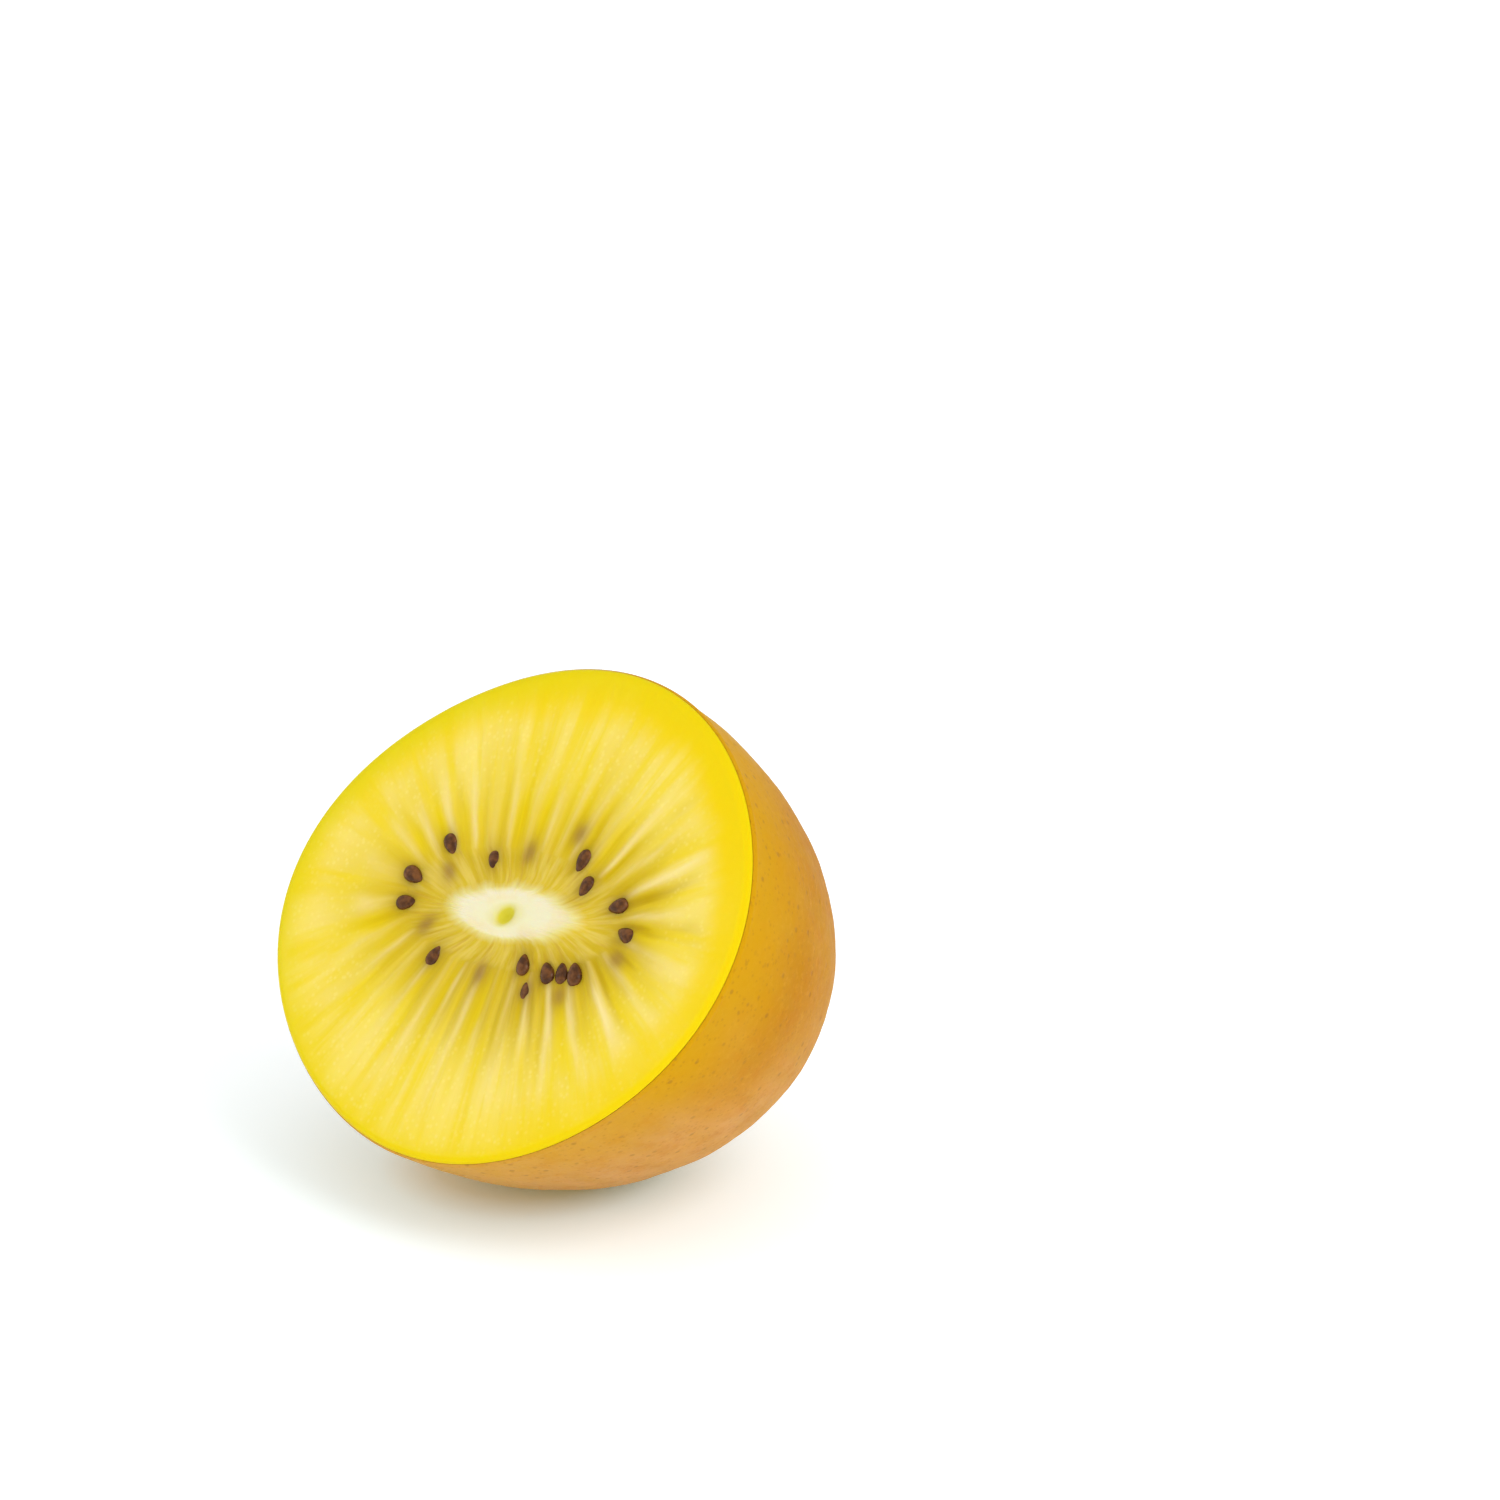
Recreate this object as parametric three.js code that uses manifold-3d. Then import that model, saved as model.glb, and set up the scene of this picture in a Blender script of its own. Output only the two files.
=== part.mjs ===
// Half of a golden kiwi fruit, cut straight across its middle and lying on its side with the cut face
// turned up and forward. Skin, flesh, core and seeds are one grown body, so it is one solid.
//
// Millimetres. In the fruit's own frame +Z is the fruit's axis, pointing out of the cut face, z = 0 is the
// plane of the knife cut and +X is the long axis of the oval section. The part's frame has +Z up, and its
// origin is the middle of the flat spot that the half rests on.

import * as THREE from "three";
import { mergeVertices } from "three/addons/utils/BufferGeometryUtils.js";
import Module from "manifold-3d";

const { degToRad, lerp, smoothstep, seededRandom } = THREE.MathUtils;

// The skin: an oval section whose profile to the tip is a blunt superellipse.
const SECTION_LONG = 56.0;
const SECTION_SHORT = 48.8;
const HALF_LENGTH = 31.6;
const SHOULDER_POWER = 2.88;
const TIP_POWER = 1.93;
const EDGE_ROUND = 0.9;
// The section isn't a perfect oval: low swellings, as [count round the fruit, share of radius, angle].
const SWELLINGS = [[3, 0.013, 52], [4, 0.0095, -15]];

// The stalk scar on the tip: a dish with a low raised rim.
const SCAR_DISH_RADIUS = 2.4;
const SCAR_DISH_DEPTH = 0.8;
const SCAR_RIM_RADIUS = 3.5;
const SCAR_RIM_HEIGHT = 0.3;

// The cut face: a lens of core in the middle with a soft pit, seeds on an oval ring round it, and seed
// chambers beyond.
const PIT = { long: 2.7, short: 2.1, turn: 28, middle: [-0.25, -0.35], pointedness: 0 };
const CORE = { long: 16.2, short: 5.15, turn: -8, middle: [0.6, -0.2], pointedness: 0.55 };
const RING = { long: 27.6, short: 12.0, turn: -9, middle: [0, 0.45], pointedness: 0 };
const PIT_DEPTH = 0.5;
const CORE_RISE = 0.35;
const RING_SINK = 0.3;
const CHAMBERS = 32;
const CHAMBER_DEPTH = 0.2;

// The seeds lie at the inner ends of the chambers, pointing at the core. Each row is a chamber number, a
// half number lying on a wall, how far out of the ring the seed lies, and how much of it is bared: 1 lies
// with its middle at the cut, and less lies deeper.
const SEED_LONG = 2.35;
const SEED_WIDE = 1.5;
const SEED_THICK = 1.15;
const SEED_SPREAD = 0.25;
const SEEDS = [
  [1.3, -0.5, 1], [3.7, -1.6, 0.9], [4.9, 0.4, 0.9], [10.3, -1.4, 0.65], [12.8, 0.9, 0.8],
  [15.2, -0.1, 1], [16.7, -0.4, 1], [20.4, 0.7, 0.75], [25.8, -0.8, 1], [26.2, 1.7, 0.6],
  [27.3, 0.1, 1], [28.1, 0.3, 0.9], [28.8, 0.8, 1], [31.8, 0.5, 0.75],
];

// How it lies: the face's axis rises by FACE_RISE, the section is turned about that axis, and the skin is
// pressed flat by FLAT_DEPTH where it carries the fruit.
const FACE_RISE = 36;
const SECTION_TURN = 17;
const FLAT_DEPTH = 0.45;

// The mesh: columns round the fruit, fewer of them towards the two poles.
const COLUMNS = 6 * CHAMBERS;
const SKIN_STEPS = 13;

/** Angles of the columns: equal steps along the oval of the seed ring, so the chambers are alike there. */
function ringAngles(count) {
  const ring = new THREE.EllipseCurve(0, 0, RING.long / 2, RING.short / 2, 0, 2 * Math.PI);
  ring.arcLengthDivisions = 20 * count;
  return Array.from({ length: count }, (_, i) => 2 * Math.PI * ring.getUtoTmapping(i / count));
}

const ANGLES = ringAngles(COLUMNS);

/** The skin at an angle round the fruit, along = 0 at the cut and 1 at the tip. */
function skinPoint(angle, along) {
  const quarter = along * Math.PI / 2;
  const depth = Math.sin(quarter) ** (2 / TIP_POWER);
  const width = Math.max(Math.cos(quarter), 0) ** (2 / SHOULDER_POWER);
  let uneven = 0;
  for (const [count, share, at] of SWELLINGS) uneven += share * Math.cos(count * (angle - degToRad(at)));
  const radius = width * (1 + (1 - depth * depth) * uneven);
  const x = radius * SECTION_LONG / 2 * Math.cos(angle);
  const y = radius * SECTION_SHORT / 2 * Math.sin(angle);
  return new THREE.Vector3(x, y, scarHeight(Math.hypot(x, y)) - depth * HALF_LENGTH);
}

/** How far the stalk scar moves the tip inwards, at a distance from the axis. */
function scarHeight(radius) {
  const dish = SCAR_DISH_DEPTH * (1 - smoothstep(radius, 0.55 * SCAR_DISH_RADIUS, 1.3 * SCAR_DISH_RADIUS));
  const rim = SCAR_RIM_HEIGHT * Math.exp(-(((radius - SCAR_RIM_RADIUS) / 0.7) ** 2));
  return dish - rim;
}

/** An oval on the cut face, turned about its middle, its ends drawn out to points by its pointedness. */
function ovalPoint({ long, short, turn, middle, pointedness }, angle) {
  const sine = Math.sin(angle);
  const point = new THREE.Vector2(long / 2 * Math.cos(angle), short / 2 * sine * Math.abs(sine) ** pointedness);
  point.rotateAround(new THREE.Vector2(), degToRad(turn));
  return point.add(new THREE.Vector2(...middle));
}

/** The outlines that the cut face runs through: pit, core, seed ring and the start of the rounded edge. */
const OUTLINES = [
  (angle) => ovalPoint(PIT, angle - degToRad(PIT.turn)),
  (angle) => ovalPoint(CORE, angle),
  (angle) => ovalPoint(RING, angle),
  (angle) => edgePoint(angle, 0),
];

/** The rounded edge of the cut, a quarter circle: turn = 0 on the face and 90 degrees on the skin. */
function edgePoint(angle, turn) {
  const skin = skinPoint(angle + degToRad(RING.turn), 0);
  const inset = EDGE_ROUND * (1 - Math.sin(degToRad(turn)));
  skin.multiplyScalar(1 - inset / Math.hypot(skin.x, skin.y));
  return new THREE.Vector3(skin.x, skin.y, -EDGE_ROUND * (1 - Math.cos(degToRad(turn))));
}

/** Height of the cut face: way runs 0 pit, 1 core edge, 2 seed ring, 3 edge; chamber counts round the ring. */
function faceHeight(way, chamber) {
  const number = Math.round(chamber) % CHAMBERS;
  const reach = lerp(2.62, 2.86, seededRandom(11 + number));
  const strength = lerp(0.55, 1, seededRandom(53 + number));
  const core = CORE_RISE * (1 - smoothstep(way, 0.85, 1.2));
  const sink = RING_SINK * smoothstep(way, 1, 1.4) * (1 - smoothstep(way, 1.9, 2.3));
  const across = 0.5 + 0.5 * Math.cos(2 * Math.PI * chamber);
  const along = smoothstep(way, 1.9, 2.15) * (1 - smoothstep(way, reach - 0.3, reach));
  return core - sink - CHAMBER_DEPTH * strength * across * along;
}

/** A point of the cut face. */
function facePoint(way, angle, chamber) {
  const zone = Math.min(Math.floor(way), 2);
  const inner = OUTLINES[zone](angle);
  const outer = OUTLINES[zone + 1](angle);
  const part = way - zone;
  return new THREE.Vector3(
    lerp(inner.x, outer.x, part), lerp(inner.y, outer.y, part), faceHeight(way, chamber));
}

/** Builds rings of points from the middle of the face over the edge and along the skin to the tip. */
function fruitRings() {
  const rings = [];
  const addRing = (every, pointAt) => {
    const ring = [];
    for (let i = 0; i < COLUMNS; i += every) ring.push(pointAt(ANGLES[i], i * CHAMBERS / COLUMNS));
    rings.push(ring);
  };
  const faceWays = [[0, 8], [0.5, 4], [0.85, 2], [1.1, 2], [1.5, 2], [1.85, 1], [2, 1], [2.12, 1], [2.25, 1],
    [2.4, 1], [2.55, 1], [2.7, 1], [2.85, 1], [3, 2]];
  for (const [way, every] of faceWays) addRing(every, (angle, chamber) => facePoint(way, angle, chamber));
  for (const turn of [35, 65]) addRing(2, (angle) => edgePoint(angle, turn));
  const turned = (angle) => angle + degToRad(RING.turn);
  addRing(2, (angle) => skinPoint(turned(angle), 0.022));
  for (let step = 1; step < SKIN_STEPS; step++) {
    addRing(step < SKIN_STEPS - 2 ? 2 : 4, (angle) => skinPoint(turned(angle), step / SKIN_STEPS));
  }
  for (const along of [0.96, 0.977, 0.985, 0.992, 0.997]) addRing(8, (angle) => skinPoint(turned(angle), along));
  return rings;
}

/** Joins rings of points, each as fine as the next or twice as fine or coarse, into one closed mesh. */
function closedMesh(rings, firstPole, lastPole) {
  const positions = [];
  const triangles = [];
  const starts = rings.map((ring) => {
    const start = positions.length / 3;
    for (const point of ring) positions.push(point.x, point.y, point.z);
    return start;
  });
  const poles = [firstPole, lastPole].map((pole) => positions.push(pole.x, pole.y, pole.z) / 3 - 1);
  for (let r = 0; r + 1 < rings.length; r++) {
    const [a, b] = [rings[r].length, rings[r + 1].length];
    const steps = Math.max(a, b);
    for (let i = 0; i < steps; i++) {
      const at = (k) => starts[r] + Math.ceil(k * a / steps) % a;
      const to = (k) => starts[r + 1] + Math.floor(k * b / steps) % b;
      if (at(i) !== at(i + 1)) triangles.push(at(i), to(i), at(i + 1));
      if (to(i) !== to(i + 1)) triangles.push(at(i + 1), to(i), to(i + 1));
    }
  }
  const [first, last] = [rings[0], rings.at(-1)];
  for (let i = 0; i < first.length; i++) triangles.push(poles[0], i, (i + 1) % first.length);
  const end = starts.at(-1);
  for (let i = 0; i < last.length; i++) triangles.push(poles[1], end + (i + 1) % last.length, end + i);
  return { positions, triangles };
}

/** One seed as a solid: a plump grain lying in the face, its long axis along the chamber. */
function seedSolid([chamber, outward, bared], index) {
  const column = Math.round(chamber * COLUMNS / CHAMBERS) % COLUMNS;
  const inner = OUTLINES[2](ANGLES[column]);
  const outer = OUTLINES[3](ANGLES[column]);
  const direction = new THREE.Vector2(outer.x - inner.x, outer.y - inner.y);
  const height = faceHeight(2 + outward / direction.length(), chamber);
  const spot = direction.clone().setLength(1).multiplyScalar(outward).add(inner);
  const turn = direction.angle() + SEED_SPREAD * (2 * seededRandom(301 + index) - 1);
  const size = lerp(0.8, 1, bared);
  const grain = new THREE.SphereGeometry(0.5, 8, 7);
  grain.rotateZ(Math.PI / 2);
  grain.scale(SEED_LONG * size, SEED_WIDE * size, SEED_THICK * size);
  grain.rotateZ(turn);
  grain.translate(spot.x, spot.y, height + 0.6 * SEED_THICK * (bared - 1));
  return solid(grain);
}

const wasm = await Module();
wasm.setup();

/** A manifold solid with the shape of a closed geometry. */
function solid(geometry) {
  geometry.deleteAttribute("normal");
  geometry.deleteAttribute("uv");
  const merged = mergeVertices(geometry);
  return new wasm.Manifold(new wasm.Mesh({
    numProp: 3,
    vertProperties: Float32Array.from(merged.attributes.position.array),
    triVerts: Uint32Array.from(merged.index.array),
  }));
}

/** The half fruit as grown and cut, in its own frame, before it is laid down. */
function wholeHalf() {
  const { positions, triangles } = closedMesh(
    fruitRings(), new THREE.Vector3(...PIT.middle, CORE_RISE - PIT_DEPTH), skinPoint(0, 1));
  const geometry = new THREE.BufferGeometry();
  geometry.setAttribute("position", new THREE.Float32BufferAttribute(positions, 3));
  geometry.setIndex(triangles);
  return SEEDS.map(seedSolid).reduce((fruit, seed) => fruit.add(seed), solid(geometry));
}

// Laid down: turned about its own axis, then tipped until the face rises by FACE_RISE towards -Y.
const pose = new THREE.Matrix4().makeRotationX(degToRad(90 - FACE_RISE));
pose.multiply(new THREE.Matrix4().makeRotationZ(degToRad(SECTION_TURN)));

/** The points of a solid as they lie in the pose. */
function posedPoints(fruit) {
  const { numProp, vertProperties } = fruit.getMesh();
  const points = [];
  for (let i = 0; i < vertProperties.length; i += numProp) {
    points.push(new THREE.Vector3().fromArray(vertProperties, i).applyMatrix4(pose));
  }
  return points;
}

const grown = wholeHalf();
const floor = Math.min(...posedPoints(grown).map((point) => point.z)) + FLAT_DEPTH;
const up = new THREE.Vector3(0, 0, 1).applyMatrix4(pose.clone().invert());
const resting = grown.trimByPlane(up.toArray(), floor);

// The flat spot's middle becomes the origin.
const flat = new THREE.Box3().setFromPoints(posedPoints(resting).filter((point) => point.z < floor + 1e-3));
const middle = flat.getCenter(new THREE.Vector3());

const { numProp, vertProperties, triVerts } = resting.getMesh();
const geometry = new THREE.BufferGeometry();
geometry.setAttribute("position", new THREE.BufferAttribute(vertProperties, numProp));
geometry.setIndex(new THREE.BufferAttribute(triVerts, 1));
geometry.computeVertexNormals();

const flesh = new THREE.MeshStandardMaterial({ color: 0xe9c42c, roughness: 0.45, metalness: 0 });
const kiwiHalf = new THREE.Mesh(geometry, flesh);
kiwiHalf.name = "kiwi_half";
kiwiHalf.rotation.z = degToRad(SECTION_TURN);

const tipped = new THREE.Group();
tipped.rotation.x = degToRad(90 - FACE_RISE);
tipped.position.set(-middle.x, -middle.y, -floor);
tipped.add(kiwiHalf);

const kiwi = new THREE.Group();
kiwi.add(tipped);

export default kiwi;
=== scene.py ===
"""Looks of a golden kiwi fruit half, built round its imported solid.

The half lies on its skin with the cut face turned up and forward. Shapes are worked out in millimetres in
the fruit's own frame (+Z out of the cut face, +X along the oval section's long axis) and are then laid down
into the part's frame in metres. Named turns are in degrees, and colours are linear red, green and blue.
"""

import math

import bmesh
import bpy
import numpy as np
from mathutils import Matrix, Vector


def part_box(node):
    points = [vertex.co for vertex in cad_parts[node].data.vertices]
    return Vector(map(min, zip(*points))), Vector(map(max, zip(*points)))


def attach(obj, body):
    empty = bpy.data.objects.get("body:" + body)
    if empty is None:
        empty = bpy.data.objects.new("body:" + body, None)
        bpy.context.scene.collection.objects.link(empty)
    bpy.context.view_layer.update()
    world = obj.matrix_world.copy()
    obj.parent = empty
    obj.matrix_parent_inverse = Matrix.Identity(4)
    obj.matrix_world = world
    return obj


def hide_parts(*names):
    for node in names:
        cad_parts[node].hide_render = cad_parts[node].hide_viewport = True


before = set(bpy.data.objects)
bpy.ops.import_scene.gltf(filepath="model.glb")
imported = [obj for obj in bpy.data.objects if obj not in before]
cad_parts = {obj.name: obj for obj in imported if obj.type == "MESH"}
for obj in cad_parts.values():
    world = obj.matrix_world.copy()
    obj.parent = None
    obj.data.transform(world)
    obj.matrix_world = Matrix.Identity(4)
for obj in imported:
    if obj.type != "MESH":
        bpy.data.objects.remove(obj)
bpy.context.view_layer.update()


# ---------------------------------------------------------------------------------------------------------
# The camera: a long lens a little above the table, with its sides level. It sees the cut face half turned
# to the left, and aims past the fruit's upper right, so that the half lies low and left in view.
# ---------------------------------------------------------------------------------------------------------
CAMERA_AIM = Vector((0.01316, 0.01121, 0.04244))
CAMERA_DISTANCE = 0.700
CAMERA_AZIMUTH = 45.0
CAMERA_ELEVATION = 20.9
LENS = 180.8


def add_camera():
    """A camera on a sphere round the aim point, looking at that point with its sides level."""
    camera = bpy.data.objects.new("camera", bpy.data.cameras.new("camera"))
    bpy.context.scene.collection.objects.link(camera)
    around, above = math.radians(CAMERA_AZIMUTH), math.radians(CAMERA_ELEVATION)
    level = Vector((math.sin(around), -math.cos(around), 0)) * math.cos(above)
    back = level + Vector((0, 0, math.sin(above)))
    camera.location = CAMERA_AIM + back * CAMERA_DISTANCE
    camera.rotation_euler = (-back).to_track_quat("-Z", "Y").to_euler()
    camera.data.lens = LENS
    camera.data.sensor_width = 36.0
    camera.data.clip_start = 0.01
    camera.data.clip_end = 50.0
    bpy.context.scene.camera = camera


add_camera()


# ---------------------------------------------------------------------------------------------------------
# The skin: a thin, almost hairless rind, grown on to the flesh from the knife cut to the stalk scar. It is
# tan lower down and golden high up on its lit side, which is painted light: a lit and a shaded copy of its
# colour. It has russet mottle, tiny dark pores and a gold band by the cut, strongest on the lit side.
# ---------------------------------------------------------------------------------------------------------
SECTION_LONG, SECTION_SHORT = 56.0, 48.8
HALF_LENGTH = 31.6
SHOULDER_POWER, TIP_POWER = 2.88, 1.93
# How many swellings go round, their share of the radius, and the turn of the first.
SWELLINGS = ((3, 0.013, 52.0), (4, 0.0095, -15.0))
SCAR_DISH_RADIUS, SCAR_DISH_DEPTH = 2.4, 0.8
SCAR_RIM_RADIUS, SCAR_RIM_HEIGHT, SCAR_RIM_WIDTH = 3.5, 0.3, 0.7
FACE_RISE = 36.0
SECTION_TURN = 17.0
EDGE_ROUND = 0.9
INSET_CENTRE = 6.0
REST_EASE = 0.2
RIND_START = 0.022
SKIN_START, SKIN_END = 54.0, 88.0
SKIN_THICKNESS = 0.2
SKIN_UNEVENNESS = 0.2
SWELL_LENGTH, SWELL_HEIGHT = 7.0, 0.07
RIPPLE_LENGTH, RIPPLE_HEIGHT = 1.3, 0.016
STAND_IN = 0.04
SHARP_TURN = 50.0
# The rind's lit side, whose gold is painted light: the turn it faces, and the heights where it fades in.
SUNNY_SIDE = 10.0
PAINTED_LIT_FROM, PAINTED_LIT_TO = 7.0, 28.0
SKIN_COLUMNS, SKIN_ROWS, SKIN_TIP_ROWS = 440, 134, 30

# The first four are lit and shaded copies of the rind's colour, which paint light on it: tan low down and
# gold high up on the lit side.
SHADED_TAN = (0.655, 0.290, 0.045)
SHADED_PALE_TAN = (0.637, 0.302, 0.092)
LIT_GOLD = (0.475, 0.177, 0.0005)
LIT_PALE_GOLD = (0.512, 0.211, 0.002)
BRONZE = (0.45, 0.235, 0.080)
BAND_GOLD = (0.48, 0.225, 0.014)
RUSSET = (0.50, 0.150, 0.006)
BLOOM_YELLOW = (0.76, 0.39, 0.045)
CUT_GOLD = (0.640, 0.315, 0.001)
PORE_BROWN = (0.27, 0.105, 0.02)
FLECK_BROWN = (0.33, 0.11, 0.012)
CORKY_TAN = (0.66, 0.34, 0.13)


def smoothstep(value, low, high):
    """0 below low, 1 above high, and the curve 3t^2 - 2t^3 between them."""
    t = np.clip((value - low) / (high - low), 0.0, 1.0)
    return t * t * (3.0 - 2.0 * t)


def ripples(points, wavelength, seed, waves=40):
    """Smooth seeded noise about -1 to 1: a sum of plane waves in random directions, near one wavelength."""
    draw = np.random.default_rng(seed)
    heading = draw.normal(size=(waves, 3))
    heading /= np.linalg.norm(heading, axis=1, keepdims=True)
    pitch = 2.0 * np.pi / (wavelength * draw.uniform(0.7, 1.5, waves))
    phase = draw.uniform(0.0, 2.0 * np.pi, waves)
    total = np.zeros(points.shape[:-1])
    for direction, k, start in zip(heading, pitch, phase):
        total += np.sin(k * (points @ direction) + start)
    return total / math.sqrt(waves / 2.0) / 2.0


def skin_points(angle, along, inset=0.0):
    """The rind as a blunt superellipse turned round an oval: along = 0 at the cut and 1 at the tip.

    Depth is sin^(2/tip power) of the half length and width is cos^(2/shoulder power) of the oval's radii,
    with low three- and four-fold swellings that die away to the tip, where the stalk scar dishes it.
    inset moves every point in by that many millimetres. Down to INSET_CENTRE below the cut it goes straight
    towards the axis, and farther down towards the point of the axis at that depth.
    """
    quarter = along * np.pi / 2.0
    depth = np.sin(quarter) ** (2.0 / TIP_POWER)
    width = np.clip(np.cos(quarter), 0.0, 1.0) ** (2.0 / SHOULDER_POWER)
    uneven = sum(share * np.cos(count * (angle - math.radians(at))) for count, share, at in SWELLINGS)
    radius = width * (1.0 + (1.0 - depth * depth) * uneven)
    x = radius * (SECTION_LONG / 2.0) * np.cos(angle)
    y = radius * (SECTION_SHORT / 2.0) * np.sin(angle)
    out = np.hypot(x, y)
    dish = SCAR_DISH_DEPTH * (1.0 - smoothstep(out, 0.55 * SCAR_DISH_RADIUS, 1.3 * SCAR_DISH_RADIUS))
    rim = SCAR_RIM_HEIGHT * np.exp(-(((out - SCAR_RIM_RADIUS) / SCAR_RIM_WIDTH) ** 2))
    z = dish - rim - depth * HALF_LENGTH
    points = np.stack([x, y, z], axis=-1)
    outward = points + np.array([0.0, 0.0, INSET_CENTRE])
    outward[..., 2] = np.minimum(outward[..., 2], 0.0)
    return points - inset * outward / np.linalg.norm(outward, axis=-1, keepdims=True)


def cut_edge(angle, turn, inset=0.0):
    """The rounded edge of the cut, a quarter circle of EDGE_ROUND: turn = 0 on the face, 90 on the rind.

    inset moves the points straight in from that circle.
    """
    lean = np.radians(turn)
    rim = skin_points(angle, np.zeros_like(angle))[..., :2]
    drawn_in = EDGE_ROUND * (1.0 - np.sin(lean)) + inset * np.sin(lean)
    rim = rim * (1.0 - drawn_in / np.linalg.norm(rim, axis=-1))[..., None]
    level = -EDGE_ROUND * (1.0 - np.cos(lean)) - inset * np.cos(lean)
    return np.concatenate([rim, np.full(rim.shape[:-1] + (1,), level)], axis=-1)


def turned(angle):
    """The matrix that turns points about +Z by an angle in radians."""
    cos, sin = math.cos(angle), math.sin(angle)
    return np.array([[cos, -sin, 0], [sin, cos, 0], [0, 0, 1]])


def lay_down(points):
    """Turns points from the fruit's frame to the part's: about its axis, then tipped by 90 - FACE_RISE."""
    tip = math.radians(90.0 - FACE_RISE)
    tipped = np.array([[1, 0, 0], [0, math.cos(tip), -math.sin(tip)], [0, math.sin(tip), math.cos(tip)]])
    return points @ (tipped @ turned(math.radians(SECTION_TURN))).T


def find_place():
    """The fruit's shift in the part's frame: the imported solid's highest corner less the laid shape's."""
    angle = np.linspace(0, 2 * np.pi, 721)
    rows = [skin_points(angle, np.full(721, along)) for along in np.linspace(RIND_START, 1.0, 200)]
    rows += [cut_edge(angle, turn) for turn in np.linspace(0.0, 90.0, 46)]
    corner = lay_down(np.array(rows)).reshape(-1, 3).max(axis=0)
    return np.array(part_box("kiwi_half")[1]) * 1000.0 - corner


PLACE = find_place()


def place(points, floor=0.0):
    """Lays points of the fruit's frame down in the part's, in metres, pressed flat where they rest.

    A height within REST_EASE of the floor height eases into the flat by the square
    (height + ease)^2 / (4 ease), and a lower one lies on it.
    """
    points = lay_down(points) + PLACE
    height = points[..., 2] - floor
    eased = 0.25 * (height + REST_EASE) ** 2 / REST_EASE
    pressed = np.where(height > REST_EASE, height, np.where(height < -REST_EASE, 0.0, eased))
    points[..., 2] = floor + pressed
    return points * 0.001


def closed_mesh(name, rows, first, last):
    """A closed mesh from rows of points in metres, each row a ring round the piece.

    Neighbouring rings are joined by quads, and the two ends are closed with a fan to the first and last
    points. Faces are turned outwards where the volume inside them comes out negative.
    """
    count, columns = rows.shape[:2]
    index = np.arange(count * columns).reshape(count, columns)
    across = np.roll(index, -1, axis=1)
    quads = np.stack([index[:-1], index[1:], across[1:], across[:-1]], axis=-1).reshape(-1, 4)
    first_tip, last_tip = count * columns, count * columns + 1
    first_fan = np.stack([np.full(columns, first_tip), index[0], across[0]], axis=-1)
    last_fan = np.stack([np.full(columns, last_tip), across[-1], index[-1]], axis=-1)
    points = np.concatenate([rows.reshape(-1, 3), np.reshape([first, last], (2, 3))])
    mesh = bpy.data.meshes.new(name)
    mesh.from_pydata(points.tolist(), [], quads.tolist() + first_fan.tolist() + last_fan.tolist())
    shape = bmesh.new()
    shape.from_mesh(mesh)
    if shape.calc_volume(signed=True) < 0:
        bmesh.ops.reverse_faces(shape, faces=shape.faces)
    shape.to_mesh(mesh)
    shape.free()
    mesh.shade_smooth()
    piece = bpy.data.objects.new(name, mesh)
    bpy.context.scene.collection.objects.link(piece)
    return piece


def paint(piece, name, values, first=0.0, last=0.0):
    """Stores a number for each point of a piece's rings and its two ends, for its material to read."""
    data = np.concatenate([values.reshape(-1), [first, last]]).astype(np.float32)
    piece.data.attributes.new(name, "FLOAT", "POINT").data.foreach_set("value", data)


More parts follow.
